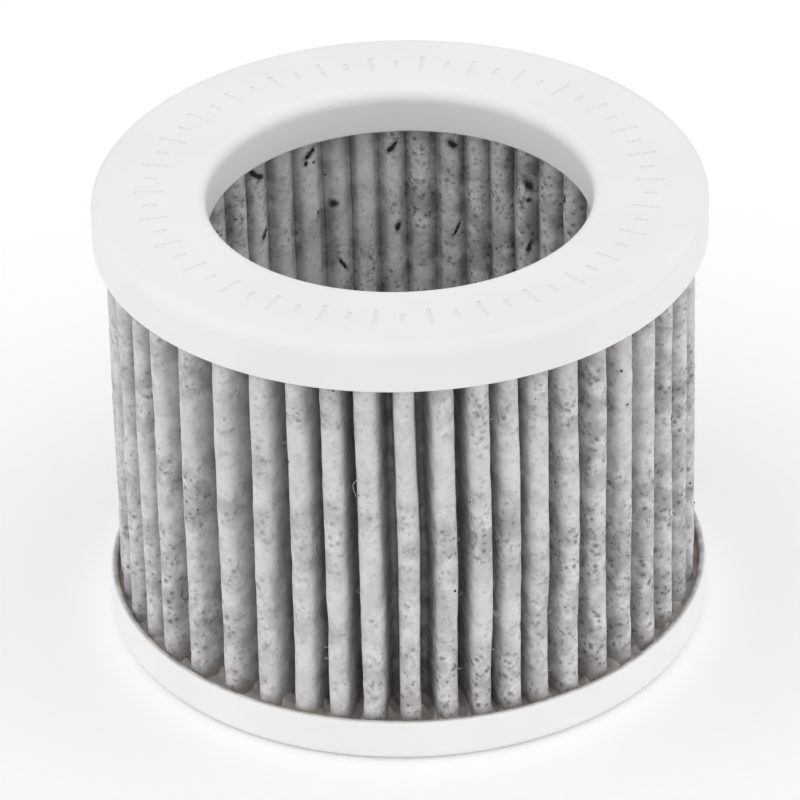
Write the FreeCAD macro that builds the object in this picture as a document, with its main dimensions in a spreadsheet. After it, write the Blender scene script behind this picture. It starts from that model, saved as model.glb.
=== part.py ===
"""Pleated activated-carbon filter cartridge, in millimetres.

A ring of pleated three-layer medium stands between two moulded end caps. Water or air goes in through
the pleats from outside, all round, and leaves through the bore of the top cap. The bottom cap is closed.
The origin is the centre of the base, on the plane that the cartridge stands on, and +Z is its axis.
"""

import FreeCAD, Part
import math
import os

import Sketcher

VECTOR = FreeCAD.Vector

DRIVING = {
    # both caps
    "cap_radius": 50.0,
    "total_height": 78.5,
    "cap_wall": 1.3,
    "collar_radius": 33.0,
    # top cap
    "top_cap_height": 8.0,
    "top_plate": 2.2,
    "bore_radius": 31.3,
    "top_edge_round": 2.1,
    "bore_edge_round": 2.3,
    "skirt_edge_round": 0.35,
    # bottom cap
    "bottom_cap_height": 7.5,
    "base_plate": 2.2,
    "bottom_collar_wall": 1.6,
    "lip_round": 0.55,
    "base_edge_round": 2.0,
    "base_recess_radius": 29.0,
    "base_recess_depth": 0.8,
    # index marks sunk in the top face
    "mark_count": 30.0,
    "mark_radius": 40.5,
    "mark_long": 4.6,
    "mark_short": 2.2,
    "mark_width": 0.75,
    "mark_depth": 0.2,
    # pleated medium
    "pleat_count": 48.0,
    "pleat_outer_radius": 48.3,
    "pleat_inner_radius": 37.0,
    "fleece_thickness": 0.3,
    "carbon_thickness": 0.7,
    "outer_fold_radius": 1.05,
    "inner_fold_radius": 1.25,
    "pleat_end_gap": 1.0,
    # potting compound and seam
    "potting_recess": 2.6,
    "seam_width": 0.8,
    "seam_proud": 0.3,
}

CELL = "<<sizes>>."


def make_sheet(doc):
    """The spreadsheet that holds the driving dimensions, one aliased cell each."""
    sheet = doc.addObject("Spreadsheet::Sheet", "sizes")
    sheet.Label = "sizes"
    for row, (alias, value) in enumerate(DRIVING.items(), start=1):
        sheet.set(f"A{row}", alias)
        sheet.set(f"B{row}", str(value))
        sheet.setAlias(f"B{row}", alias)
    doc.recompute()
    return sheet


def origin_plane(body, role):
    """One of a body's own origin planes."""
    return next(o for o in body.Origin.OriginFeatures if o.Role == role)


def flat_sketch(body, name, height):
    """An empty sketch on the body's XY plane, raised to a height given as an expression."""
    sketch = body.newObject("Sketcher::SketchObject", name)
    sketch.AttachmentSupport = [(origin_plane(body, "XY_Plane"), "")]
    sketch.MapMode = "FlatFace"
    sketch.setExpression("AttachmentOffset.Base.z", height)
    return sketch


def add_circle(sketch, name, radius):
    """A circle round the sketch's origin, its radius bound to an expression."""
    index = sketch.addGeometry(Part.Circle(VECTOR(0, 0, 0), VECTOR(0, 0, 1), 10.0))
    sketch.addConstraint(Sketcher.Constraint("Coincident", index, 3, -1, 1))
    number = sketch.addConstraint(Sketcher.Constraint("Radius", index, 10.0))
    sketch.renameConstraint(number, name)
    sketch.setExpression("Constraints." + name, radius)


def ring_sketch(body, name, height, outer, inner=None):
    """A disc, or a ring where an inner radius is given."""
    sketch = flat_sketch(body, name, height)
    add_circle(sketch, "outer", outer)
    if inner:
        add_circle(sketch, "inner", inner)
    return sketch


def pad(body, name, sketch, length):
    feature = body.newObject("PartDesign::Pad", name)
    feature.Profile = sketch
    feature.setExpression("Length", length)
    sketch.Visibility = False
    return feature


def pocket(body, name, sketch, depth, upward):
    """A pocket cut up or down from its sketch. It must take material away."""
    body.Document.recompute()
    before = body.Shape.Volume
    feature = body.newObject("PartDesign::Pocket", name)
    feature.Profile = sketch
    feature.setExpression("Length", depth)
    feature.Reversed = upward
    sketch.Visibility = False
    body.Document.recompute()
    if not body.Shape.Volume < before:
        raise RuntimeError(f"pocket {name} cut nothing")
    return feature


def round_edges(body, name, base, places, radius):
    """A fillet on the full circles of the base feature that lie at the (radius, height) pairs in places."""
    body.Document.recompute()
    names = []
    for number, edge in enumerate(base.Shape.Edges, start=1):
        if edge.Curve.TypeId != "Part::GeomCircle":
            continue
        found = (edge.Curve.Radius, edge.Curve.Center.z)
        for place in places:
            if math.dist(found, place) < 1e-4:
                names.append(f"Edge{number}")
    if len(names) != len(places):
        raise RuntimeError(f"fillet {name} found {len(names)} edges of {len(places)}")
    feature = body.newObject("PartDesign::Fillet", name)
    feature.Base = (base, names)
    feature.setExpression("Radius", radius)
    body.Document.recompute()
    return feature


def new_body(doc, label):
    body = doc.addObject("PartDesign::Body", label)
    body.Label = label
    return body


def mark_sketch(body, name, length):
    """One radial bar of the index ring, on the +X side of the top face."""
    sketch = flat_sketch(body, name, CELL + "total_height")
    corners = [VECTOR(38, -1, 0), VECTOR(42, -1, 0), VECTOR(42, 1, 0), VECTOR(38, 1, 0)]
    for start, end in zip(corners, corners[1:] + corners[:1]):
        sketch.addGeometry(Part.LineSegment(start, end))
    for line in range(4):
        sketch.addConstraint(Sketcher.Constraint("Coincident", line, 2, (line + 1) % 4, 1))
    for kind, line in (("Horizontal", 0), ("Vertical", 1), ("Horizontal", 2), ("Vertical", 3)):
        sketch.addConstraint(Sketcher.Constraint(kind, line))
    sizes = {
        "long_side": (Sketcher.Constraint("DistanceX", 0, 1, 0, 2, 4.0), CELL + length),
        "width": (Sketcher.Constraint("DistanceY", 1, 1, 1, 2, 2.0), CELL + "mark_width"),
        "inner_end": (
            Sketcher.Constraint("DistanceX", -1, 1, 0, 1, 38.0),
            f"{CELL}mark_radius - {CELL}{length} / 2",
        ),
        "below_axis": (
            Sketcher.Constraint("DistanceY", 0, 1, -1, 1, 1.0),
            f"{CELL}mark_width / 2",
        ),
    }
    for constraint_name, (constraint, expression) in sizes.items():
        number = sketch.addConstraint(constraint)
        sketch.renameConstraint(number, constraint_name)
        sketch.setExpression("Constraints." + constraint_name, expression)
    return sketch


def mark_ring(body, name, length, start_angle):
    """A ring of equal bars sunk in the top face, turned by start_angle in degrees."""
    sketch = mark_sketch(body, name + "_sketch", length)
    body.Document.recompute()
    sketch.AttachmentOffset = FreeCAD.Placement(
        sketch.AttachmentOffset.Base, FreeCAD.Rotation(VECTOR(0, 0, 1), start_angle)
    )
    bar = pocket(body, name + "_bar", sketch, CELL + "mark_depth", upward=False)
    ring = body.newObject("PartDesign::PolarPattern", name)
    ring.Originals = [bar]
    ring.Axis = (origin_axis(body, "Z_Axis"), [""])
    ring.Angle = 360
    ring.setExpression("Occurrences", CELL + "mark_count")
    body.Tip = ring
    body.Document.recompute()
    return ring


def origin_axis(body, role):
    return next(o for o in body.Origin.OriginFeatures if o.Role == role)


def make_top_cap(doc):
    """A moulded ring: outer skirt, flat top and inner collar, with a channel between them for the potting."""
    body = new_body(doc, "top_cap")
    underside = f"{CELL}total_height - {CELL}top_cap_height"
    outline = ring_sketch(body, "cap_ring", underside, CELL + "cap_radius", CELL + "bore_radius")
    ring = pad(body, "cap_block", outline, CELL + "top_cap_height")
    top = DRIVING["total_height"]
    bottom = top - DRIVING["top_cap_height"]
    outer = round_edges(
        body, "outer_round", ring, [(DRIVING["cap_radius"], top)], CELL + "top_edge_round"
    )
    bore = round_edges(
        body, "bore_round", outer, [(DRIVING["bore_radius"], top)], CELL + "bore_edge_round"
    )
    feet = [(DRIVING["cap_radius"], bottom), (DRIVING["bore_radius"], bottom)]
    round_edges(body, "skirt_round", bore, feet, CELL + "skirt_edge_round")
    channel = ring_sketch(
        body,
        "channel_ring",
        underside,
        f"{CELL}cap_radius - {CELL}cap_wall",
        CELL + "collar_radius",
    )
    depth = f"{CELL}top_cap_height - {CELL}top_plate"
    pocket(body, "channel", channel, depth, upward=True)
    mark_ring(body, "long_marks", "mark_long", 0.0)
    mark_ring(body, "short_marks", "mark_short", 180.0 / DRIVING["mark_count"])
    return body


def make_bottom_cap(doc):
    """A moulded dish: closed base, outer lip and inner collar, with a channel between them for the potting."""
    body = new_body(doc, "bottom_cap")
    outline = ring_sketch(body, "dish_disc", "0", CELL + "cap_radius")
    block = pad(body, "dish_block", outline, CELL + "bottom_cap_height")
    well = ring_sketch(
        body, "well_disc", CELL + "base_plate", f"{CELL}collar_radius - {CELL}bottom_collar_wall"
    )
    depth = f"{CELL}bottom_cap_height - {CELL}base_plate"
    pocket(body, "well", well, depth, upward=True)
    channel = ring_sketch(
        body,
        "channel_ring",
        CELL + "base_plate",
        f"{CELL}cap_radius - {CELL}cap_wall",
        CELL + "collar_radius",
    )
    cut = pocket(body, "channel", channel, depth, upward=True)
    top = DRIVING["bottom_cap_height"]
    lip_inside = DRIVING["cap_radius"] - DRIVING["cap_wall"]
    lips = [
        (DRIVING["cap_radius"], top),
        (lip_inside, top),
        (DRIVING["collar_radius"], top),
        (DRIVING["collar_radius"] - DRIVING["bottom_collar_wall"], top),
    ]
    lip = round_edges(body, "lip_round", cut, lips, CELL + "lip_round")
    base_edge = [(DRIVING["cap_radius"], 0.0)]
    round_edges(body, "base_round", lip, base_edge, CELL + "base_edge_round")
    recess = ring_sketch(body, "recess_disc", "0", CELL + "base_recess_radius")
    pocket(body, "recess", recess, CELL + "base_recess_depth", upward=True)
    return body


def pleat_angle(number, count):
    """Where fold number stands, in degrees. Pleats crowd and spread on the -Y side, close up at +Y, and wander."""
    even = 360.0 * number / count
    behind = min(max(math.sin(math.radians(even)) / 0.7, 0.0), 1.0)
    behind = behind * behind * (3 - 2 * behind)
    crowding = 2.6 * math.sin(math.radians(3.0 * even + 37.0)) * (1 - behind)
    crowding += 1.9 * math.sin(math.radians(2.0 * even)) * behind
    wander = 0.46 * math.sin(1.24 * number + 5.32) + 0.41 * math.sin(0.81 * number + 1.3)
    return even - 1.8 + crowding + wander


def folds(values):
    """The fold centres in order round the ring: (centre, centreline radius, +1 outer or -1 inner)."""
    count = int(values["pleat_count"])
    half = values["fleece_thickness"] + values["carbon_thickness"] / 2
    angles = [pleat_angle(n, count) for n in range(count)]
    angles.append(angles[0] + 360.0)
    made = []
    for n in range(count):
        outer_radius = values["outer_fold_radius"] * (1 + 0.08 * math.sin(2.9 * n))
        shy = 0.15 * (1 + math.sin(4.1 * n)) + 0.15 * (1 + math.cos(math.radians(angles[n])))
        outer_reach = values["pleat_outer_radius"] - half - outer_radius - shy
        # Where the pleats crowd, the inner folds are squeezed narrower.
        crowd = (angles[n + 1] - angles[n]) * count / 360.0
        inner_radius = (values["inner_fold_radius"] + half) * crowd**0.8 - half
        inner_reach = values["pleat_inner_radius"] + half + inner_radius + 0.2 * (1 + math.sin(3.7 * n))
        between = (angles[n] + angles[n + 1]) / 2 + 0.3 * math.sin(3.1 * n)
        for angle, reach, radius, turn in (
            (angles[n], outer_reach, outer_radius, 1),
            (between, inner_reach, inner_radius, -1),
        ):
            direction = math.radians(angle)
            centre = VECTOR(reach * math.cos(direction), reach * math.sin(direction), 0)
            made.append((centre, radius, turn))
    return made


def flank_normal(fold, following):
    """Unit normal, pointing to the outside of the medium, of the flank that joins two folds."""
    centre, radius, turn = fold
    span = following[0] - centre
    lean = math.asin((radius + following[1]) / span.Length) * turn
    heading = math.atan2(span.y, span.x) + lean
    return VECTOR(math.sin(heading), -math.cos(heading), 0)


def pleat_wire(made, offset):
    """The closed outline at a distance outside the medium's middle surface: an arc and a flank for each fold."""
    normals = [flank_normal(f, made[(n + 1) % len(made)]) for n, f in enumerate(made)]
    edges = []
    for n, (centre, radius, turn) in enumerate(made):
        reach = radius * turn + offset
        normal_in, normal_out = normals[n - 1], normals[n]
        start_angle = math.atan2(normal_in.y, normal_in.x)
        end_angle = math.atan2(normal_out.y, normal_out.x)
        sweep = (turn * (end_angle - start_angle)) % (2 * math.pi)
        middle = start_angle + turn * sweep / 2
        towards = VECTOR(math.cos(middle), math.sin(middle), 0)
        start, end = centre + normal_in * reach, centre + normal_out * reach
        edges.append(Part.Arc(start, centre + towards * reach, end).toShape())
        next_centre, next_radius, next_turn = made[(n + 1) % len(made)]
        next_start = next_centre + normal_out * (next_radius * next_turn + offset)
        edges.append(Part.LineSegment(end, next_start).toShape())
    return Part.Wire(edges)


def pleated_sheet(made, inside, outside, height):
    """The solid between two offsets of the pleat outline."""
    wires = [pleat_wire(made, outside), pleat_wire(made, inside)]
    face = Part.makeFace(wires, "Part::FaceMakerBullseye")
    return face.extrude(VECTOR(0, 0, height))


def seam_place(made, values, start_height):
    """Where the hot-melt bead sits: across the middle of the flank nearest the back of the ring."""
    back = max(range(0, len(made), 2), key=lambda n: made[n][0].y)
    fold, following = made[back], made[back + 1]
    normal = flank_normal(fold, following)
    start = fold[0] + normal * fold[1]
    end = following[0] - normal * following[1]
    along = (end - start).normalize()
    half = values["fleece_thickness"] + values["carbon_thickness"] / 2 + values["seam_proud"]
    corner = (start + end) * 0.5 - along * (values["seam_width"] / 2) + normal * half
    corner.z = start_height
    turn = FreeCAD.Rotation(along, -normal, VECTOR(0, 0, 1), "ZXY")
    return FreeCAD.Placement(corner, turn)


def make_seam(doc, made, values, start_height, height):
    """The hot-melt bead that joins the two ends of the pleated strip."""
    bead = doc.addObject("Part::Box", "seam_bead")
    bead.Label = "seam_bead"
    bead.setExpression("Length", CELL + "seam_width")
    across = f"2 * ({CELL}fleece_thickness + {CELL}seam_proud) + {CELL}carbon_thickness"
    bead.setExpression("Width", across)
    bead.Height = height
    bead.Placement = seam_place(made, values, start_height)
    doc.recompute()
    return bead


def make_layer(doc, label, shape, seam, start_height):
    """One layer of the strip, open where the seam bead joins its ends."""
    raised = shape.copy()
    raised.translate(VECTOR(0, 0, start_height))
    layer = doc.addObject("Part::Feature", label)
    layer.Label = label
    layer.Shape = raised.cut(seam.Shape)
    return layer


def make_tube(doc, name, outer, inner, height, start):
    """A plain tube on the axis, its sizes bound to expressions."""
    solids = []
    for part_name, radius in (("outside", outer), ("inside", inner)):
        cylinder = doc.addObject("Part::Cylinder", f"{name}_{part_name}")
        cylinder.setExpression("Radius", radius)
        cylinder.setExpression("Height", height)
        cylinder.setExpression("Placement.Base.z", start)
        solids.append(cylinder)
    tube = doc.addObject("Part::Cut", name + "_tube")
    tube.Base, tube.Tool = solids
    return tube


def make_potting(doc, label, start, height, envelope):
    """Compound cast in a cap's channel round the pleat ends."""
    tube = make_tube(
        doc,
        label,
        f"{CELL}cap_radius - {CELL}cap_wall",
        CELL + "collar_radius",
        height,
        start,
    )
    potting = doc.addObject("Part::Cut", label)
    potting.Label = label
    potting.Base, potting.Tool = tube, envelope
    return potting


def make_medium(doc, values):
    """The three layers of the strip, its seam bead, and the envelope that the potting is cast round."""
    made = folds(values)
    start = values["base_plate"] + values["pleat_end_gap"]
    stop = values["total_height"] - values["top_plate"] - values["pleat_end_gap"]
    height = stop - start
    skin = values["carbon_thickness"] / 2
    face = skin + values["fleece_thickness"]
    seam = make_seam(doc, made, values, start, height)
    layers = [
        make_layer(doc, label, pleated_sheet(made, inside, outside, height), seam, start)
        for label, inside, outside in (
            ("outer_fleece", skin, face),
            ("carbon_layer", -skin, skin),
            ("inner_fleece", -face, -skin),
        )
    ]
    band = pleated_sheet(made, -face, face, height)
    band.translate(VECTOR(0, 0, start))
    envelope = doc.addObject("Part::Feature", "medium_envelope")
    envelope.Shape = band.fuse(seam.Shape)
    return layers, seam, envelope


def check_document(doc, pieces):
    """Stops on a failed feature or a sub-part that isn't whole."""
    for thing in doc.Objects:
        if {"Invalid", "Error"} & set(thing.State):
            raise RuntimeError(f"{thing.Name} failed: {thing.State}")
    for piece in pieces:
        shape = piece.Shape
        if shape.isNull() or not shape.isValid() or not shape.Solids:
            raise RuntimeError(f"{piece.Label} isn't a valid solid")


def main():
    doc = FreeCAD.newDocument("filter_cartridge")
    sheet = make_sheet(doc)
    values = {alias: float(sheet.get(alias)) for alias in DRIVING}
    top_cap = make_top_cap(doc)
    bottom_cap = make_bottom_cap(doc)
    layers, seam, envelope = make_medium(doc, values)
    channel = f"{CELL}top_cap_height - {CELL}top_plate - {CELL}potting_recess"
    top_potting = make_potting(
        doc,
        "top_potting",
        f"{CELL}total_height - {CELL}top_cap_height + {CELL}potting_recess",
        channel,
        envelope,
    )
    bottom_potting = make_potting(
        doc,
        "bottom_potting",
        CELL + "base_plate",
        f"{CELL}bottom_cap_height - {CELL}base_plate - {CELL}potting_recess",
        envelope,
    )
    doc.recompute()
    pieces = [top_cap, bottom_cap, *layers, seam, top_potting, bottom_potting]
    check_document(doc, pieces)
    os.makedirs("parts", exist_ok=True)
    for piece in pieces:
        piece.Shape.exportStep(os.path.join("parts", piece.Label + ".step"))
        print(f"{piece.Label}: {len(piece.Shape.Solids)} solid(s), {piece.Shape.Volume:.0f} mm3")


main()
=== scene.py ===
"""Looks of a round filter cartridge: two moulded caps, and pleated fleece and carbon cast between them."""

import math

import bpy
import numpy as np
from mathutils import Matrix, Vector, kdtree


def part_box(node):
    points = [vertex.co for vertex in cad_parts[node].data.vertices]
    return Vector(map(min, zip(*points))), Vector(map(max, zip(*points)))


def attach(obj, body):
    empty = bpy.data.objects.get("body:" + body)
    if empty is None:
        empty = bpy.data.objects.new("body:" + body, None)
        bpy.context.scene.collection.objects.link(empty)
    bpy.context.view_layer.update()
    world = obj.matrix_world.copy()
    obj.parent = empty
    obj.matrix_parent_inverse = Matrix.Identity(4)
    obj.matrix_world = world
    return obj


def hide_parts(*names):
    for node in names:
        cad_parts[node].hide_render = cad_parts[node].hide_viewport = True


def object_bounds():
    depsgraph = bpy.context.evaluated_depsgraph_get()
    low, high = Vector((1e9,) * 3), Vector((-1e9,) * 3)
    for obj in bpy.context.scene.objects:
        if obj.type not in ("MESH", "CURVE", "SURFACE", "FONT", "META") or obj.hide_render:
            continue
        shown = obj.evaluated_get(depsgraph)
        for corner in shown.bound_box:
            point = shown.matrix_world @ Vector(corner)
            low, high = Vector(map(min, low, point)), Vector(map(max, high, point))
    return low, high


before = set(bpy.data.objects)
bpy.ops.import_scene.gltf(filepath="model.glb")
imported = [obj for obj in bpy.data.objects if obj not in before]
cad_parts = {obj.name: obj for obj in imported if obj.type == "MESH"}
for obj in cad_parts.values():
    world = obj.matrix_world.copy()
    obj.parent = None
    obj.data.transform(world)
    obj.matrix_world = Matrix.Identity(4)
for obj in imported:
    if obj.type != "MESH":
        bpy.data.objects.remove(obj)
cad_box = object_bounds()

MM = 0.001

# The pleated strip, in millimetres, as the CAD model folds it.
PLEATS = 48
PLEAT_OUTER_RADIUS = 48.3
PLEAT_INNER_RADIUS = 37.0
OUTER_FOLD_RADIUS = 1.05
INNER_FOLD_RADIUS = 1.25
FLEECE_THICKNESS = 0.3
CARBON_THICKNESS = 0.7
SEAM_WIDTH = 0.8
HALF_STRIP = CARBON_THICKNESS / 2 + FLEECE_THICKNESS

# How the hand-folded strip wanders from its CAD shape, in millimetres.
LEAN = 0.14
SWAY = 0.05
REACH_WANDER = 0.08
WIDTH_WANDER = 0.035
BROAD_LUMPS = 0.03
SMALL_LUMPS = 0.03
# Share of a core-side slot's width that the loft of the inner fleece fills, and the depths in millimetres
# between which the slot closes.
SLOT_PINCH = 0.995
SLOT_MOUTH = (0.9, 1.9)
# How far each face of the carbon bed is drawn in from the CAD's, to stay clear of the fleeces' lumps.
BED_SLACK = 0.06

# Mesh steps round an outer fold, round an inner fold and along a flank, and for the inner fleece the power
# that draws a flank's columns towards the inner fold.
OUTER_FLEECE_STEPS = (10, 3, 6)
INNER_FLEECE_STEPS = (2, 8, 7, 1.8)
CARBON_STEPS = (6, 4, 2)
VISIBLE_ROWS = 76


# ---------------------------------------------------------------- small helpers


def link(piece):
    """Puts an object in the scene."""
    bpy.context.scene.collection.objects.link(piece)
    return piece


def mesh_piece(name, vertices, faces, material, depth=None):
    """A smooth mesh piece that rides on the cartridge, its vertices in millimetres.

    depth is a value for each vertex, which the fleece's material reads to paint shade deeper in the folds.
    """
    mesh = bpy.data.meshes.new(name)
    mesh.from_pydata((np.asarray(vertices) * MM).tolist(), [], faces)
    mesh.polygons.foreach_set("use_smooth", [True] * len(mesh.polygons))
    mesh.materials.append(material)
    if depth is not None:
        mesh.attributes.new("depth", "FLOAT", "POINT").data.foreach_set("value", np.ravel(depth))
    mesh.update()
    piece = link(bpy.data.objects.new(name, mesh))
    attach(piece, "root")
    return piece


def grid_faces(rows, columns, closed=False, first=0, flip=False):
    """Quads over a grid of vertices, closed round the columns or open."""
    spans = columns if closed else columns - 1
    faces = []
    for row in range(rows - 1):
        for column in range(spans):
            after = (column + 1) % columns
            corners = [
                first + row * columns + column,
                first + row * columns + after,
                first + (row + 1) * columns + after,
                first + (row + 1) * columns + column,
            ]
            faces.append(corners[::-1] if flip else corners)
    return faces


def smooth_field(rows, columns, row_blur, column_blur, seed):
    """Seeded noise of unit spread, blurred by this many cells each way. It wraps round the columns."""
    spare = rows * 2
    random = np.random.default_rng(seed).standard_normal((spare, columns))
    across = np.fft.fftfreq(spare)[:, None] * row_blur
    along = np.fft.fftfreq(columns)[None, :] * column_blur
    keep = np.exp(-2 * math.pi**2 * (across**2 + along**2))
    field = np.fft.ifft2(np.fft.fft2(random) * keep).real[:rows]
    return (field - field.mean()) / field.std()


def smooth_step(low, high, value):
    """A smooth change from 0 at low to 1 at high. low may be the greater of the two."""
    share = np.clip((value - low) / (high - low), 0, 1)
    return share * share * (3 - 2 * share)


def heights(node):
    """Lowest and highest point of a CAD node, in millimetres."""
    low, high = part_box(node)
    return low.z / MM, high.z / MM


def radii(node):
    """Nearest and farthest distance of a CAD node from the axis, in millimetres."""
    places = np.array([v.co[:2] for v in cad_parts[node].data.vertices]) / MM
    away = np.hypot(places[:, 0], places[:, 1])
    return away.min(), away.max()


# ---------------------------------------------------------------- materials


def add(tree, kind, inputs=None, **settings):
    """A shader node. An input is a value, or the socket that feeds it."""
    made = tree.nodes.new("ShaderNode" + kind)
    for name, value in settings.items():
        setattr(made, name, value)
    for key, value in (inputs or {}).items():
        if isinstance(value, bpy.types.NodeSocket):
            tree.links.new(value, made.inputs[key])
        else:
            made.inputs[key].default_value = value
    return made


def new_material(name):
    """An empty material with a Principled shader: (material, tree, shader, object coordinates)."""
    material = bpy.data.materials.new(name)
    material.use_nodes = True
    tree = material.node_tree
    shader = tree.nodes["Principled BSDF"]
    place = add(tree, "TexCoord").outputs["Object"]
    return material, tree, shader, place


def noise_at(tree, place, size, detail=3.0, roughness=0.5):
    """Noise whose features are about this many millimetres across."""
    wanted = {"Vector": place, "Scale": 1 / (size * MM), "Detail": detail, "Roughness": roughness}
    return add(tree, "TexNoise", wanted).outputs["Fac"]


def ramp(tree, value, low, high, start=0.0, end=1.0):
    """A smooth change from start to end as value goes from low to high."""
    wanted = {"Value": value, "From Min": low, "From Max": high, "To Min": start, "To Max": end}
    return add(tree, "MapRange", wanted, interpolation_type="SMOOTHSTEP").outputs["Result"]


def calc(tree, operation, first, second):
    """One operation, such as ADD, on two numbers or sockets."""
    return add(tree, "Math", {0: first, 1: second}, operation=operation).outputs["Value"]


def tint(tree, factor, first, second):
    """A colour between two others. Each is a grey value, an RGB triple or a socket."""
    # Of a colour mix, input 0 is the factor, 6 and 7 are the colours, and output 2 is the result.
    wanted = {0: factor}
    for key, colour in ((6, first), (7, second)):
        if isinstance(colour, float):
            colour = (colour, colour, colour)
        wanted[key] = colour if isinstance(colour, bpy.types.NodeSocket) else (*colour, 1.0)
    return add(tree, "Mix", wanted, data_type="RGBA").outputs[2]


def length_of(tree, vector):
    """The length of a vector."""
    return add(tree, "VectorMath", {0: vector}, operation="LENGTH").outputs["Value"]


def scaled(tree, vector, factors):
    """A vector whose three parts are multiplied by these factors."""
    return add(tree, "VectorMath", {0: vector, 1: factors}, operation="MULTIPLY").outputs["Vector"]


def stirred(tree, place, size, amount):
    """Coordinates pushed about by noise of this size, by up to half this amount each way, in millimetres."""
    random = add(tree, "TexNoise", {"Vector": place, "Scale": 1 / (size * MM), "Detail": 2.0})
    centred = add(tree, "VectorMath", {0: random.outputs["Color"], 1: (0.5, 0.5, 0.5)}, operation="SUBTRACT")
    wanted = {0: centred.outputs["Vector"], "Scale": amount * MM}
    pushed = add(tree, "VectorMath", wanted, operation="SCALE")
    moved = add(tree, "VectorMath", {0: place, 1: pushed.outputs["Vector"]}, operation="ADD")
    return moved.outputs["Vector"]


def bump(tree, height, distance, below=None):
    """A bump of this many millimetres, on top of another where one is given."""
    wanted = {"Height": height, "Distance": distance * MM}
    if below:
        wanted["Normal"] = below
    return add(tree, "Bump", wanted).outputs["Normal"]


def granules(tree, place, size, share, radius, ragged):
    """Scattered soft-edged specks of uneven sizes: 1 inside a granule and 0 outside.

    size is the spacing of the cells that they lie in, and ragged is how far their edges are stirred, both in
    millimetres. share is the part of the cells that hold one, a number or a socket. radius is in cells.
    """
    moved = stirred(tree, place, size * 0.45, ragged)
    cells = add(tree, "TexVoronoi", {"Vector": moved, "Scale": 1 / (size * MM)})
    chance = add(tree, "SeparateColor", {"Color": cells.outputs["Color"]})
    there = calc(tree, "LESS_THAN", chance.outputs["Red"], share)
    own_size = calc(tree, "MULTIPLY", ramp(tree, chance.outputs["Green"], 0.0, 1.0, 0.35, 1.1), radius)
    reach = calc(tree, "DIVIDE", cells.outputs["Distance"], own_size)
    inside = ramp(tree, reach, 0.05, 1.2, 1.0, 0.0)
    return calc(tree, "MULTIPLY", inside, there)


def carbon_load(tree, place, where, load, clean_at):
    """How much of the carbon shows: in zones, more towards the foot, and more away from the cleanest X."""
    zones = ramp(tree, noise_at(tree, place, 13.0, 2.0), 0.36, 0.66)
    low_down = ramp(tree, where.outputs["Z"], 50 * MM, 8 * MM, 0.0, 0.3)
    from_cleanest = calc(tree, "ABSOLUTE", calc(tree, "SUBTRACT", where.outputs["X"], clean_at * MM), 0)
    aside = ramp(tree, from_cleanest, 12 * MM, 34 * MM, load, load + 0.25)
    return calc(tree, "ADD", calc(tree, "MULTIPLY", zones, 0.55), calc(tree, "ADD", low_down, aside))


def soaked_foot(tree, place, where):
    """Where the fleece has soaked up compound, with a ragged upper edge."""
    level = heights("bottom_potting")[1] * MM
    uneven = calc(tree, "MULTIPLY", noise_at(tree, scaled(tree, place, (1.0, 1.0, 0.25)), 1.2), 5 * MM)
    height = calc(tree, "SUBTRACT", where.outputs["Z"], uneven)
    return ramp(tree, height, level - 2.6 * MM, level + 1.4 * MM, 0.75, 0.0)


def fleece_material(name, light, load, clean_at, dust_and_shade):
    """Nonwoven fleece with black granules behind it, painted shade in its folds and a stain at its foot.

    load is how much the granules show where the fleece is cleanest, at clean_at millimetres along X. The
    last argument gives the depths, in millimetres, between which painted shade in the folds deepens, and the
    share that it darkens by.
    """
    material, tree, shader, place = new_material(name)
    shade = tuple(0.58 * part for part in light)
    black_tone = 0.085
    depth = add(tree, "Attribute", attribute_name="depth").outputs["Fac"]
    where = add(tree, "SeparateXYZ", {0: place})
    laden = carbon_load(tree, place, where, load, clean_at)
    shows = ramp(tree, laden, 0.1, 0.9, 0.25, 1.0)

    # Painted shade: the fleece turns towards its darker tone the deeper a point lies in the folds.
    painted_depth_shade = ramp(tree, depth, 0.2, 2.5, 0.0, 0.3)
    clouds = ramp(tree, noise_at(tree, place, 3.6, 3.0, 0.5), 0.36, 0.66)
    base = tint(tree, calc(tree, "MULTIPLY", clouds, calc(tree, "ADD", shows, painted_depth_shade)), light, shade)
    fibres = ramp(tree, noise_at(tree, place, 0.8, 2.0, 0.5), 0.36, 0.68)
    base = tint(tree, calc(tree, "MULTIPLY", fibres, calc(tree, "MULTIPLY", shows, 0.5)), base, shade)

    ragged = ramp(tree, noise_at(tree, place, 1.1, 2.0, 0.5), 0.54, 0.76)
    share = ramp(tree, laden, 0.0, 1.0, 0.2, 0.8)
    specks = calc(tree, "MULTIPLY", granules(tree, place, 1.25, share, radius=0.46, ragged=0.4), 0.78)
    dirt = calc(tree, "MAXIMUM", specks, calc(tree, "MULTIPLY", ragged, 0.75))
    colour = tint(tree, calc(tree, "MULTIPLY", dirt, shows), base, black_tone)
    # Painted shade: darker towards black the deeper a point lies in the folds, unevenly.
    painted_fold_shade = ramp(tree, depth, dust_and_shade[0], dust_and_shade[1], 0.0, dust_and_shade[2])
    uneven = ramp(tree, clouds, 0.0, 1.0, 0.85, 1.15)
    colour = tint(tree, calc(tree, "MULTIPLY", painted_fold_shade, uneven), colour, black_tone)
    colour = tint(tree, soaked_foot(tree, place, where), colour, (0.42, 0.385, 0.355))
    tree.links.new(colour, shader.inputs["Base Color"])

    shader.inputs["Roughness"].default_value = 0.95
    shader.inputs["Specular IOR Level"].default_value = 0.12
    shader.inputs["Sheen Weight"].default_value = 0.2
    shader.inputs["Sheen Roughness"].default_value = 0.4
    tree.links.new(bump(tree, noise_at(tree, place, 2.0, 1.0, 0.5), 0.1), shader.inputs["Normal"])
    return material


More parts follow.
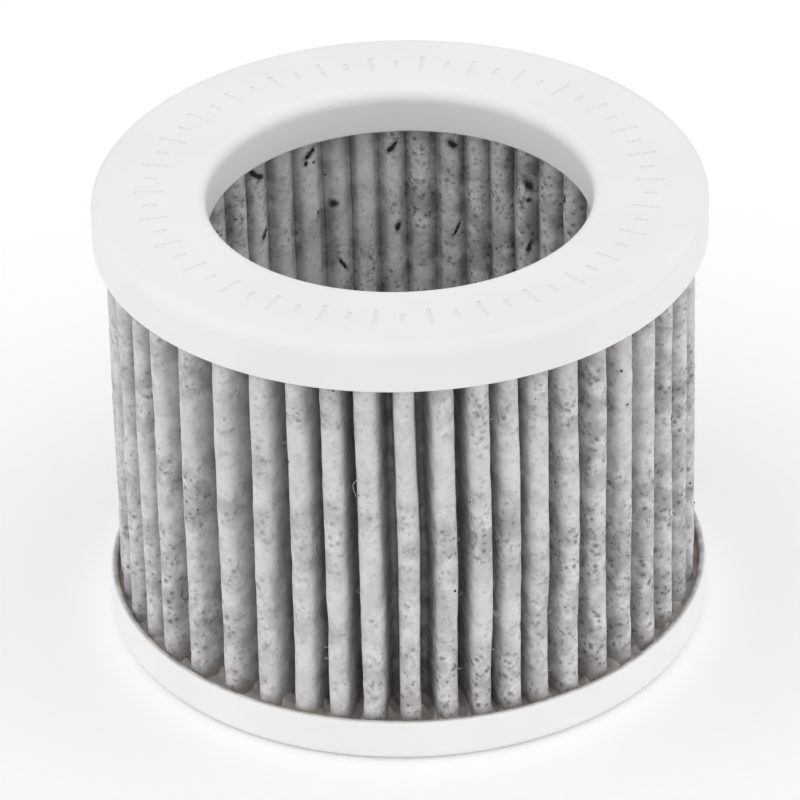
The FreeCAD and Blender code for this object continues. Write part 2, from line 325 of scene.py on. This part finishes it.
def carbon_material(name, tone):
    """Dull black carbon granules."""
    material, tree, shader, place = new_material(name)
    grain = noise_at(tree, place, 0.35, 4.0, 0.65)
    tree.links.new(tint(tree, ramp(tree, grain, 0.3, 0.7), tone, tone * 2.2), shader.inputs["Base Color"])
    shader.inputs["Roughness"].default_value = 0.8
    shader.inputs["Specular IOR Level"].default_value = 0.3
    tree.links.new(bump(tree, grain, 0.12), shader.inputs["Normal"])
    return material


def lip_inner_darkening(tree, place):
    """Where the inside of the bottom cap's lip turns darker and browner, just above the compound: 0
    elsewhere.
    """
    away = length_of(tree, scaled(tree, place, (1.0, 1.0, 0.0)))
    height = add(tree, "SeparateXYZ", {0: place}).outputs["Z"]
    channel = radii("bottom_potting")[1] * MM
    level = heights("bottom_potting")[1] * MM
    near_wall = ramp(tree, away, channel + 0.5 * MM, channel + 1.15 * MM, 1.0, 0.0)
    past_channel = calc(tree, "GREATER_THAN", away, channel - 1.0 * MM)
    above = calc(tree, "GREATER_THAN", height, level - 0.5 * MM)
    below = calc(tree, "LESS_THAN", height, level + 10 * MM)
    patchy = ramp(tree, noise_at(tree, place, 3.0, 3.0), 0.3, 0.6, 0.35, 0.85)
    on_wall = calc(tree, "MULTIPLY", near_wall, past_channel)
    in_band = calc(tree, "MULTIPLY", patchy, calc(tree, "MULTIPLY", above, below))
    return calc(tree, "MULTIPLY", in_band, on_wall)


def cap_material(name):
    """Off-white moulded plastic with a fine satin grain, darker and browner inside the lip."""
    material, tree, shader, place = new_material(name)
    drift = ramp(tree, noise_at(tree, place, 22.0, 2.0), 0.35, 0.65)
    plastic = tint(tree, drift, (0.835, 0.835, 0.83), (0.86, 0.86, 0.855))
    # Darker and browner on the inside of the lip, just above the compound.
    colour = tint(tree, lip_inner_darkening(tree, place), plastic, (0.36, 0.33, 0.305))
    tree.links.new(colour, shader.inputs["Base Color"])
    patches = noise_at(tree, place, 3.5, 4.0, 0.6)
    tree.links.new(ramp(tree, patches, 0.3, 0.7, 0.42, 0.52), shader.inputs["Roughness"])
    shader.inputs["Specular IOR Level"].default_value = 0.35
    flow = bump(tree, noise_at(tree, place, 9.0, 1.0), 0.05)
    grain = bump(tree, noise_at(tree, place, 0.28, 2.0, 0.5), 0.008, below=flow)
    tree.links.new(grain, shader.inputs["Normal"])
    return material


def potting_material(name):
    """Greyish beige cast compound, a little glossy, with fine carbon specks in it."""
    material, tree, shader, place = new_material(name)
    clouds = ramp(tree, noise_at(tree, place, 4.0, 4.0, 0.6), 0.35, 0.65)
    base = tint(tree, clouds, (0.62, 0.575, 0.54), (0.48, 0.44, 0.41))
    dust_and_shade = granules(tree, place, 0.9, share=0.22, radius=0.22, ragged=0.4)
    tree.links.new(tint(tree, calc(tree, "MULTIPLY", dust_and_shade, 0.7), base, 0.06), shader.inputs["Base Color"])
    shader.inputs["Roughness"].default_value = 0.45
    skin = bump(tree, noise_at(tree, place, 2.2, 3.0), 0.12)
    tree.links.new(skin, shader.inputs["Normal"])
    return material


def fibre_material(name):
    """Single pale, dull fibres."""
    material, tree, shader, place = new_material(name)
    tone = tint(tree, noise_at(tree, place, 2.0), 0.62, 0.8)
    tree.links.new(tone, shader.inputs["Base Color"])
    shader.inputs["Roughness"].default_value = 0.7
    return material


# ---------------------------------------------------------------- the pleated strip


def pleat_angle(number):
    """Where an outer fold stands, in degrees from +X.

    The pleats crowd and spread in a wave of three to a turn, which gives way to one of two to a turn on the
    +Y side, and each wanders a little.
    """
    even = 360.0 * number / PLEATS
    behind = min(max(math.sin(math.radians(even)) / 0.7, 0.0), 1.0)
    behind = behind * behind * (3 - 2 * behind)
    crowding = 2.6 * math.sin(math.radians(3.0 * even + 37.0)) * (1 - behind)
    crowding += 1.9 * math.sin(math.radians(2.0 * even)) * behind
    wander = 0.46 * math.sin(1.24 * number + 5.32) + 0.41 * math.sin(0.81 * number + 1.3)
    return even - 1.8 + crowding + wander


def rest_folds():
    """The strip's folds in order from the seam: arrays of angle, reach, radius and turn.

    reach is how far a fold's centre is from the axis. turn is 1 for an outer fold and -1 for an inner one.
    Radii and reaches differ a little from fold to fold, as in the CAD model.
    """
    angles = [pleat_angle(n) for n in range(PLEATS)]
    angles.append(angles[0] + 360.0)
    table = []
    for n in range(PLEATS):
        outer_radius = OUTER_FOLD_RADIUS * (1 + 0.08 * math.sin(2.9 * n))
        shy = 0.15 * (1 + math.sin(4.1 * n)) + 0.15 * (1 + math.cos(math.radians(angles[n])))
        outer_reach = PLEAT_OUTER_RADIUS - HALF_STRIP - outer_radius - shy
        crowd = (angles[n + 1] - angles[n]) * PLEATS / 360.0
        inner_radius = (INNER_FOLD_RADIUS + HALF_STRIP) * crowd**0.8 - HALF_STRIP
        inner_reach = PLEAT_INNER_RADIUS + HALF_STRIP + inner_radius + 0.2 * (1 + math.sin(3.7 * n))
        between = (angles[n] + angles[n + 1]) / 2 + 0.3 * math.sin(3.1 * n)
        table.append((math.radians(angles[n]), outer_reach, outer_radius, 1))
        table.append((math.radians(between), inner_reach, inner_radius, -1))
    table = np.array(table)
    back = 2 * int(np.argmax((table[:, 1] * np.sin(table[:, 0]))[::2]))
    return np.roll(table, -(back + 1), axis=0).T


def row_heights():
    """Heights of the strip's mesh rows: close together where it shows, and sparse inside the potting."""
    low, high = heights("outer_fleece")
    floor = heights("bottom_potting")[1]
    roof = heights("top_potting")[0]
    shown = np.linspace(floor - 0.4, roof + 0.4, VISIBLE_ROWS)
    return np.concatenate([[low], shown, [high]])


class Strip:
    """The folded strip at every mesh row, with the wander that its layers share."""

    def __init__(self):
        self.z = row_heights()
        angle, reach, radius, turn = rest_folds()
        rows, count = len(self.z), len(angle)
        floor, roof = heights("bottom_potting")[1], heights("top_potting")[0]
        # loose is 0 in the compound and 1 clear of it, and free is 0 beside the seam as well.
        loose = smooth_step(floor - 0.2, floor + 4.0, self.z) * smooth_step(roof + 0.2, roof - 2.5, self.z)
        number = np.arange(count)
        from_seam = np.minimum(number, count - 1 - number)
        self.loose = loose[:, None]
        self.free = self.loose * smooth_step(0, 4, from_seam)[None, :]
        lean = LEAN * smooth_field(rows, count, 15, 3.0, 11)
        sway = SWAY * smooth_field(rows, count, 7, 0.5, 12)
        reach_off = REACH_WANDER * smooth_field(rows, count, 9, 0.4, 13)
        width_off = WIDTH_WANDER * smooth_field(rows, count, 8, 0.3, 14)
        self.angle = angle + self.free * (lean + sway) / reach
        self.reach = reach + self.free * np.clip(reach_off, -0.3, 0.12)
        self.radius = radius * (1 + self.free * np.clip(width_off, -0.12, 0.12))
        self.turn = turn
        self.x = self.reach * np.cos(self.angle)
        self.y = self.reach * np.sin(self.angle)
        span_x = np.roll(self.x, -1, axis=1) - self.x
        span_y = np.roll(self.y, -1, axis=1) - self.y
        both = self.radius + np.roll(self.radius, -1, axis=1)
        tilt = np.arcsin(both / np.hypot(span_x, span_y)) * turn
        heading = np.arctan2(span_y, span_x) + tilt
        self.normal_out = heading - math.pi / 2
        self.normal_in = np.roll(self.normal_out, 1, axis=1)

    def arc(self, fold, share, offset):
        """A point on a fold, and the direction its surface faces there."""
        turn = self.turn[fold]
        sweep = (turn * (self.normal_out[:, fold] - self.normal_in[:, fold])) % (2 * math.pi)
        facing = self.normal_in[:, fold] + turn * sweep * share
        away = self.radius[:, fold] * turn + offset
        return self.x[:, fold] + away * np.cos(facing), self.y[:, fold] + away * np.sin(facing), facing

    def flank(self, fold, share, offset):
        """A point on the flank after a fold."""
        after = (fold + 1) % len(self.turn)
        start_x, start_y, facing = self.arc(fold, 1.0, offset)
        end_x, end_y, _ = self.arc(after, 0.0, offset)
        return start_x + (end_x - start_x) * share, start_y + (end_y - start_y) * share, facing

    def columns(self, offset, outer_steps, inner_steps, flank_steps, crowded=None):
        """The layer at an offset from the strip's middle: arrays [row, column] of x, y and facing, and the
        fold of each column.

        crowded is the power that draws a flank's columns towards the inner fold.
        """
        count = len(self.turn)
        last = count - 1
        end_x, end_y, _ = self.arc(0, 0.0, 0.0)
        start_x, start_y, _ = self.arc(last, 1.0, 0.0)
        seam_share = SEAM_WIDTH / 2 / np.hypot(end_x - start_x, end_y - start_y).mean()
        made, fold_of = [], []
        for share in np.linspace(0.5 + seam_share, 1.0, flank_steps // 2 + 1)[:-1]:
            made.append(self.flank(last, share, offset))
            fold_of.append(0)
        for fold in range(count):
            steps = outer_steps if self.turn[fold] > 0 else inner_steps
            for share in np.linspace(0.0, 1.0, steps + 1):
                made.append(self.arc(fold, share, offset))
                fold_of.append(fold)
            stop = 1.0 if fold < last else 0.5 - seam_share
            between = flank_steps if fold < last else flank_steps // 2
            shares = np.linspace(0.0, stop, between + 1)[1:]
            if crowded and fold < last:
                shares = shares**crowded if self.turn[fold] < 0 else 1 - (1 - shares) ** crowded
            for share in shares[:-1] if fold < last else shares:
                made.append(self.flank(fold, share, offset))
                fold_of.append(fold)
        x, y, facing = (np.stack(values, axis=1) for values in zip(*made))
        return x, y, facing, np.array(fold_of)

    def points(self, x, y):
        """The grid of points of a layer, at the heights of the strip's rows."""
        return np.stack([x, y, np.broadcast_to(self.z[:, None], x.shape)], axis=-1)


def lumpy(x, y, facing, share, seed):
    """Lets granules push a layer's surface out here and there, along the way that it faces."""
    rows, columns = x.shape
    broad = BROAD_LUMPS * smooth_field(rows, columns, 2.2, 2.6, seed)
    small = SMALL_LUMPS * smooth_field(rows, columns, 0.9, 1.1, seed + 1)
    push = share * np.clip(broad + small, -0.3, 0.45)
    return x + push * np.cos(facing), y + push * np.sin(facing)


def pinched(strip, x, y, fold_of):
    """Closes the core-side slots behind their mouths, each towards the middle of its outer fold."""
    away, angle = np.hypot(x, y), np.arctan2(y, x)
    on_outer = strip.turn[fold_of] > 0
    offs = []
    for step in (-1, 1):
        beside = np.where(on_outer, fold_of, (fold_of + step) % len(strip.turn))
        offs.append((angle - strip.angle[:, beside] + math.pi) % (2 * math.pi) - math.pi)
    off = np.where(abs(offs[0]) < abs(offs[1]), offs[0], offs[1])
    inside = smooth_step(*SLOT_MOUTH, away - PLEAT_INNER_RADIUS)
    near = smooth_step(2.2, 1.2, abs(off) * away)
    angle = angle - off * SLOT_PINCH * inside * near * strip.loose
    return away * np.cos(angle), away * np.sin(angle)


def depth_in_folds(x, y, facing_out):
    """How far points lie behind the crests that a fleece shows, in millimetres."""
    away = np.hypot(x, y)
    return PLEAT_OUTER_RADIUS - away if facing_out else away - PLEAT_INNER_RADIUS


def sheet_mesh(name, strip, offset, steps, seed, material, facing_out):
    """One fleece of the strip, as a sheet of cloth. Returns it with its grid of points and facings."""
    x, y, facing, fold_of = strip.columns(offset, *steps)
    outward = 1.0 if facing_out else -1.0
    calmer = 1.0 - 0.8 * smooth_step(2.5, 7.0, depth_in_folds(x, y, facing_out))
    x, y = lumpy(x, y, facing, strip.free[:, fold_of] * outward * calmer, seed)
    if not facing_out:
        x, y = pinched(strip, x, y, fold_of)
    points = strip.points(x, y)
    faces = grid_faces(*x.shape, flip=not facing_out)
    depth = depth_in_folds(x, y, facing_out).astype(np.float32)
    piece = mesh_piece(name, points.reshape(-1, 3), faces, material, depth)
    return piece, points, facing


def strip_length(strip, offset):
    """Length of the strip's layer before it was folded, in millimetres."""
    fold_steps, flank_steps = 24, 2
    x, y, _, _ = strip.columns(offset, fold_steps, fold_steps, flank_steps)
    middle = len(strip.z) // 2
    return float(np.hypot(np.diff(x[middle]), np.diff(y[middle])).sum())


def make_fleece(name, node, strip, offset, steps, seed, material, facing_out):
    """One fleece as a folded sheet, and prints its flat size. Returns its grid of points and facings."""
    piece, points, facing = sheet_mesh(name, strip, offset, steps, seed, material, facing_out)
    low, high = heights(node)
    flat = ((high - low) * MM, strip_length(strip, offset) * MM)
    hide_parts(node)
    print(f"{name}: {flat[0] / MM:.1f} x {flat[1] / MM:.0f} mm flat")
    return points, facing


def make_carbon_bed(strip, material):
    """The closed band of granules between the fleeces."""
    reach = CARBON_THICKNESS / 2 - BED_SLACK
    keep = np.r_[0 : len(strip.z) : 3, len(strip.z) - 1]
    grids = []
    for offset in (reach, -reach):
        x, y, _, _ = strip.columns(offset, *CARBON_STEPS)
        grids.append(strip.points(x, y)[keep])
    rows, columns = grids[0].shape[:2]
    faces = grid_faces(rows, columns) + grid_faces(rows, columns, first=rows * columns, flip=True)
    inner = rows * columns
    for row in (0, rows - 1):
        for column in range(columns - 1):
            near = row * columns + column
            quad = [near, near + 1, inner + near + 1, inner + near]
            faces.append(quad[::-1] if row == 0 else quad)
    for column in (0, columns - 1):
        for row in range(rows - 1):
            near = row * columns + column
            quad = [near, near + columns, inner + near + columns, inner + near]
            faces.append(quad if column == 0 else quad[::-1])
    piece = mesh_piece("carbon_bed", np.concatenate(grids).reshape(-1, 3), faces, material)
    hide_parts("carbon_layer")


# ---------------------------------------------------------------- granules and fibres


def rod_mesh(length, radius, rng, rough=0.12):
    """A short broken rod of pressed carbon, chipped and a little bent: (vertices, faces) along X."""
    rings, sides = 11, 10
    chips = rough * (rng.standard_normal(rings)[:, None] + 0.6 * rng.standard_normal((rings, sides)))
    bend = rng.uniform(-0.08, 0.08) * length
    taper = rng.uniform(-0.3, 0.3)
    points = []
    for ring in range(rings):
        share = ring / (rings - 1) * 2 - 1
        girth = radius * max(1 - abs(share) ** 4, 0.0) ** 0.5 * (1 + taper * share)
        for side in range(sides):
            turn = 2 * math.pi * side / sides
            across = girth * (1 + chips[ring, side])
            sideways = across * math.cos(turn) + bend * share**2
            points.append((share * length / 2, sideways, across * math.sin(turn)))
    faces = grid_faces(rings, sides, closed=True)
    faces.append(list(range(sides))[::-1])
    faces.append(list(range((rings - 1) * sides, rings * sides)))
    return np.array(points), faces


def resting_axes(face, outward, tilt):
    """Axes of something that lies on a surface: along the surface, across it, and away from it.

    face is the surface's direction in radians from +X. outward is -1 where it is the core side that shows.
    """
    away = np.array([math.cos(face), math.sin(face), 0.0]) * outward
    up = np.array([0.0, 0.0, 1.0])
    side = np.cross(up, away)
    along = up * math.cos(tilt) + side * math.sin(tilt)
    across = np.cross(away, along)
    return along, across, away


def merge(parts):
    """Several (vertices, faces) as one."""
    vertices, faces, first = [], [], 0
    for points, quads in parts:
        vertices.append(points)
        faces += [[first + corner for corner in quad] for quad in quads]
        first += len(points)
    return np.concatenate(vertices), faces


def nearest_crest(points, angle, height):
    """The grid place on a core-side crest that is nearest to an angle in degrees and a height."""
    row = int(np.argmin(abs(points[:, 0, 2] - height)))
    x, y = points[row, :, 0], points[row, :, 1]
    away = np.hypot(x, y)
    off = np.degrees(np.arctan2(y, x)) - angle
    off = (off + 180) % 360 - 180
    millimetres_per_degree = 0.65
    return row, int(np.argmin(abs(off) * millimetres_per_degree + (away - away.min())))


# The larger pellets on the core side: degrees from +X, height, tilt in degrees, and the length and width of
# the pellet with the dust round it.
PELLETS = (
    (129.5, 64.4, -52, 3.3, 1.05),
    (113.5, 64.8, 38, 3.0, 0.9),
    (114.5, 63.6, 10, 1.2, 0.7),
    (127, 52.5, 28, 2.6, 0.9),
    (107.5, 54.6, 80, 1.6, 1.35),
    (111.5, 53.6, 20, 0.8, 0.5),
    (105, 41.9, -30, 2.9, 0.65),
    (91, 64.4, 38, 3.0, 0.8),
    (90, 48.4, 15, 2.0, 0.95),
    (76, 65.2, -45, 2.1, 1.1),
    (75, 49.1, 28, 2.9, 0.5),
    (54.5, 60.0, -30, 2.6, 1.2),
    (54.5, 57.0, 40, 1.0, 0.7),
    (54.5, 48.0, 15, 2.4, 0.7),
    (42, 60.2, 10, 2.0, 0.6),
)
# The same five measures of the smaller ones round the rest of the core, each drawn between two limits.
MORE_PELLETS = 34
MORE_PELLETS_LIMITS = ((150, 400), (12, 66), (-70, 70), (1.3, 3.0), (0.5, 0.95))


def make_pellets(points, facing, material):
    """Broken rods of carbon caught on the core side of the strip. Returns how each lies, for its smudge."""
    rng = np.random.default_rng(5)
    spots = list(PELLETS)
    for _ in range(MORE_PELLETS):
        spots.append([rng.uniform(low, high) for low, high in MORE_PELLETS_LIMITS])
    parts, lying = [], []
    for angle, height, tilt, length, width in spots:
        row, column = nearest_crest(points, angle, height)
        axes = np.array(resting_axes(facing[row, column], -1.0, math.radians(tilt)))
        rod, faces = rod_mesh(length * 0.85, width * 0.4, rng, rough=0.2)
        sunk = width * 0.2
        parts.append((rod @ axes + points[row, column] - axes[2] * sunk, faces))
        lying.append((points[row, column], axes, length, width))
    vertices, faces = merge(parts)
    mesh_piece("caught_pellets", vertices, faces, material)
    return lying


def smudge(material, lying):
    """Darkens a fleece softly round the pellets that lie in it."""
    tree = material.node_tree
    shader = tree.nodes["Principled BSDF"]
    colour = shader.inputs["Base Color"].links[0].from_socket
    ragged = stirred(tree, add(tree, "TexCoord").outputs["Object"], 0.7, 0.9)
    dark = 0.0
    for centre, axes, length, width in lying:
        turned = Matrix(axes.tolist()).transposed().to_euler()
        size = (length * 0.55 * MM, width * 0.6 * MM, 1.5 * MM)
        wanted = {"Vector": ragged, "Location": tuple(centre * MM), "Rotation": turned, "Scale": size}
        own = add(tree, "Mapping", wanted, vector_type="TEXTURE").outputs["Vector"]
        dark = calc(tree, "MAXIMUM", ramp(tree, length_of(tree, own), 0.2, 1.7, 0.9, 0.0), dark)
    tree.links.new(tint(tree, dark, colour, 0.03), shader.inputs["Base Color"])


# How wide the loose grains are, in millimetres, and how common each width is.
GRAIN_WIDTHS = (0.22, 0.3, 0.38, 0.5)
GRAIN_SHARES = (0.4, 0.35, 0.18, 0.07)


def make_grains(name, points, facing, outward, count, seed, material):
    """Fine black grains partly sunk in a fleece."""
    rng = np.random.default_rng(seed)
    rows, columns = facing.shape
    margin = 4
    parts = []
    for _ in range(count):
        row = int(rng.integers(margin, rows - margin))
        column = int(rng.integers(columns))
        axes = resting_axes(facing[row, column], outward, rng.uniform(0, math.pi))
        radius = rng.choice(GRAIN_WIDTHS, p=GRAIN_SHARES) / 2
        grain, faces = rod_mesh(radius * rng.uniform(2.0, 3.4), radius, rng)
        place = points[row, column] - axes[2] * radius * 0.35
        parts.append((grain @ np.array(axes) + place, faces))
    vertices, faces = merge(parts)
    mesh_piece(name, vertices, faces, material)


def tube(path, radius):
    """A thin tapering tube along a path of points: (vertices, faces)."""
    sides = 5
    ahead = np.gradient(path, axis=0)
    ahead /= np.linalg.norm(ahead, axis=1)[:, None]
    side = np.cross(ahead, (0.13, 0.21, 0.97))
    side /= np.linalg.norm(side, axis=1)[:, None]
    over = np.cross(ahead, side)
    share = np.linspace(0, 1, len(path))
    girth = radius * (1 - 0.7 * share**3)
    turns = np.arange(sides) / sides * 2 * math.pi
    ring = side[:, None] * np.cos(turns)[None, :, None] + over[:, None] * np.sin(turns)[None, :, None]
    points = path[:, None] + ring * girth[:, None, None]
    return points.reshape(-1, 3), grid_faces(len(path), sides, closed=True)


def curl_path(start, along, across, away, length, rng):
    """A fibre that leaves the surface, curls over and comes back near it."""
    steps = 22
    share = np.linspace(0, 1, steps)
    heading = rng.uniform(0, 2 * math.pi)
    bend = rng.uniform(1.0, 4.6) * rng.choice((-1, 1))
    turning = heading + bend * share + 0.8 * np.sin(share * rng.uniform(3, 8) + rng.uniform(0, 6))
    step = length / steps
    flat_x = np.cumsum(np.cos(turning)) * step
    flat_y = np.cumsum(np.sin(turning)) * step
    rise = rng.uniform(0.25, 0.75) * np.sin(math.pi * share**0.8) + 0.02
    return start + along * flat_x[:, None] + across * flat_y[:, None] + away * rise[:, None]


def make_fibres(name, points, facing, outward, count, seed, material):
    """Loose fibres that stand off a fleece's crests: one long curl to eight short wisps."""
    rng = np.random.default_rng(seed)
    away = np.hypot(points[..., 0], points[..., 1])
    middle = away[len(away) // 2]
    crests = np.nonzero(outward * middle > outward * (middle.max() + middle.min()) / 2)[0]
    rows = facing.shape[0]
    margin = 3
    parts = []
    for number in range(count):
        row = int(rng.integers(margin, rows - margin))
        column = int(rng.choice(crests))
        long_one = number % 9 == 0
        axes = resting_axes(facing[row, column], outward, 0.0)
        length = rng.uniform(2.5, 6.0) if long_one else rng.uniform(0.6, 1.8)
        path = curl_path(points[row, column], *axes, length, rng)
        parts.append(tube(path, 0.035 if long_one else 0.022))
    vertices, faces = merge(parts)
    mesh_piece(name, vertices, faces, material)


# ---------------------------------------------------------------- potting compound


def strip_tree(strip):
    """A search tree of points close together on the strip's middle, where the compound holds it still."""
    fold_steps, flank_steps = 10, 18
    x, y, _, _ = strip.columns(0.0, fold_steps, fold_steps, flank_steps)
    tree = kdtree.KDTree(x.shape[1])
    for number, (px, py) in enumerate(zip(x[1], y[1])):
        tree.insert((px, py, 0.0), number)
    tree.balance()
    return tree


def make_potting(name, node, strip, upward, material):
    """Compound cast in a cap's channel. It creeps a little way along the pleats and the channel's walls."""
    near, far = radii(node)
    low, high = heights(node)
    level, hidden = (high, low) if upward else (low, high)
    way = 1.0 if upward else -1.0
    tree = strip_tree(strip)
    rings, columns = 40, 960
    away = np.linspace(near + 0.02, far - 0.02, rings)
    turn = np.arange(columns) / columns * 2 * math.pi
    x = away[:, None] * np.cos(turn)
    y = away[:, None] * np.sin(turn)
    gap = [tree.find((*spot, 0.0))[2] for spot in zip(x.ravel(), y.ravel())]
    gap = np.array(gap).reshape(x.shape)
    clear = np.clip(gap - HALF_STRIP, 0, None)
    tongues = smooth_field(rings, columns, 1.5, 1.5, 32).clip(0, 1)
    creep = 0.4 * np.exp(-clear / 0.35) + 1.1 * tongues * np.exp(-((clear / 0.9) ** 2))
    walls = 0.3 * np.exp(-(far - away) / 0.25) + 0.3 * np.exp(-(away - near) / 0.25)
    waves = 0.06 * smooth_field(rings, columns, 3, 6, 31)
    z = level + way * (creep + walls[:, None] + waves)
    top = np.stack([x, y, z], axis=-1)
    bottom = np.stack([x, y, np.full_like(x, hidden)], axis=-1)[[-1, 0]]
    grid = np.concatenate([top, bottom, top[:1]])
    faces = grid_faces(rings + 3, columns, closed=True, flip=upward)
    piece = mesh_piece(name, grid.reshape(-1, 3), faces, material)
    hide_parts(node)


# ---------------------------------------------------------------- the stage


# The camera's place and picture: degrees, metres, millimetres, degrees, and shares of the picture's width.
CAMERA_ELEVATION = 32.3
CAMERA_DISTANCE = 1.0
CAMERA_LENS = 272.7
CAMERA_ROLL = -1.41
CAMERA_SHIFT = (-0.0055, -0.0111)

# The studio's light: from all round, more from left and right, less from level in front, and a lobe from
# high up in front, whose way is given by its Y and Z.
EVEN_LIGHT = 0.69
SIDE_LIGHT = 0.78
FRONT_DIMMER = 0.09
LOBE_LIGHT = 0.52
LOBE_Y, LOBE_Z = -0.64, 0.77

FLOOR_WIDTH = 6.0
FLOOR_DROP = 0.05 * MM


def make_floor():
    """A plain floor, just under the cartridge: white round it, and greyer far away."""
    bpy.ops.mesh.primitive_plane_add(size=FLOOR_WIDTH, location=(0, 0, -FLOOR_DROP))
    floor = bpy.context.object
    floor.name = "floor"
    material, tree, shader, place = new_material("floor_white")
    away = length_of(tree, place)
    tone = ramp(tree, away, 230 * MM, 450 * MM, 0.97, 0.4)
    tree.links.new(tint(tree, tone, (0.0, 0.0, 0.0), (1.0, 1.0, 1.0)), shader.inputs["Base Color"])
    tree.links.new(ramp(tree, away, 260 * MM, 420 * MM, 0.045, 0.0), shader.inputs["Emission Strength"])
    shader.inputs["Emission Color"].default_value = (1, 1, 1, 1)
    shader.inputs["Roughness"].default_value = 0.9
    shader.inputs["Specular IOR Level"].default_value = 0.1
    floor.data.materials.append(material)


def make_world():
    """White light from all round, stronger from the left and the right, and from high up in front."""
    world = bpy.data.worlds.new("studio")
    bpy.context.scene.world = world
    world.use_nodes = True
    tree = world.node_tree
    way = add(tree, "TexCoord").outputs["Generated"]
    parts = add(tree, "SeparateXYZ", {0: way})
    x, y, z = (parts.outputs[part] for part in ("X", "Y", "Z"))
    sides = calc(tree, "MULTIPLY", calc(tree, "MULTIPLY", x, x), SIDE_LIGHT)
    high_front = calc(tree, "ADD", calc(tree, "MULTIPLY", z, LOBE_Z), calc(tree, "MULTIPLY", y, LOBE_Y))
    lobe = calc(tree, "POWER", calc(tree, "MAXIMUM", high_front, 0.0), 4.0)
    lobe = calc(tree, "MULTIPLY", lobe, LOBE_LIGHT)
    ahead = calc(tree, "MINIMUM", y, 0.0)
    dimmer = calc(tree, "MULTIPLY", calc(tree, "MULTIPLY", ahead, ahead), FRONT_DIMMER)
    even = calc(tree, "SUBTRACT", EVEN_LIGHT, dimmer)
    strength = calc(tree, "ADD", calc(tree, "ADD", sides, lobe), even)
    background = tree.nodes["Background"]
    background.inputs["Color"].default_value = (1, 1, 1, 1)
    tree.links.new(strength, background.inputs["Strength"])


def make_camera(target):
    """A long lens that looks down on the cartridge, rolled a little."""
    elevation = math.radians(CAMERA_ELEVATION)
    direction = Vector((0, -math.cos(elevation), math.sin(elevation)))
    data = bpy.data.cameras.new("camera")
    data.lens = CAMERA_LENS
    data.sensor_width = 36
    data.shift_x, data.shift_y = CAMERA_SHIFT
    data.clip_start = 0.05
    camera = link(bpy.data.objects.new("camera", data))
    aim = (-direction).to_track_quat("-Z", "Y").to_matrix().to_4x4()
    roll = Matrix.Rotation(math.radians(CAMERA_ROLL), 4, "Z")
    camera.matrix_world = Matrix.Translation(target + direction * CAMERA_DISTANCE) @ aim @ roll
    bpy.context.scene.camera = camera


# ---------------------------------------------------------------- the cartridge

white = cap_material("cap_plastic")
compound = potting_material("hot_melt")
black = carbon_material("carbon", 0.028)
veiled = carbon_material("veiled_carbon", 0.06)
# The fleeces' last arguments set the painted shade deeper in their folds.
outer_cloth = fleece_material(
    "outer_fleece", light=(0.70, 0.69, 0.685), load=0.0, clean_at=-12.0, dust_and_shade=(1.5, 7.0, 0.45)
)
inner_cloth = fleece_material(
    "inner_fleece", light=(0.96, 0.95, 0.94), load=0.22, clean_at=-26.0, dust_and_shade=(0.25, 1.4, 0.5)
)
wisps = fibre_material("loose_fibres")

for node, material in (("top_cap", white), ("bottom_cap", white), ("seam_bead", compound)):
    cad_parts[node].data.materials.clear()
    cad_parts[node].data.materials.append(material)

strip = Strip()
make_carbon_bed(strip, black)
outer_side = make_fleece(
    "pleated_outer_fleece",
    "outer_fleece",
    strip,
    offset=HALF_STRIP,
    steps=OUTER_FLEECE_STEPS,
    seed=21,
    material=outer_cloth,
    facing_out=True,
)
core_side = make_fleece(
    "pleated_inner_fleece",
    "inner_fleece",
    strip,
    offset=-HALF_STRIP,
    steps=INNER_FLEECE_STEPS,
    seed=23,
    material=inner_cloth,
    facing_out=False,
)
smudge(inner_cloth, make_pellets(*core_side, black))
make_grains("inner_grains", *core_side, outward=-1.0, count=420, seed=41, material=veiled)
make_grains("outer_grains", *outer_side, outward=1.0, count=170, seed=42, material=veiled)
make_fibres("outer_fibres", *outer_side, outward=1.0, count=420, seed=51, material=wisps)
make_fibres("inner_fibres", *core_side, outward=-1.0, count=140, seed=52, material=wisps)
make_potting("cast_bottom_potting", "bottom_potting", strip, upward=True, material=compound)
make_potting("cast_top_potting", "top_potting", strip, upward=False, material=compound)

make_floor()
make_world()
low_corner, high_corner = cad_box
make_camera(Vector((0, 0, (low_corner[2] + high_corner[2]) / 2)))
bpy.context.scene.view_settings.view_transform = "Standard"
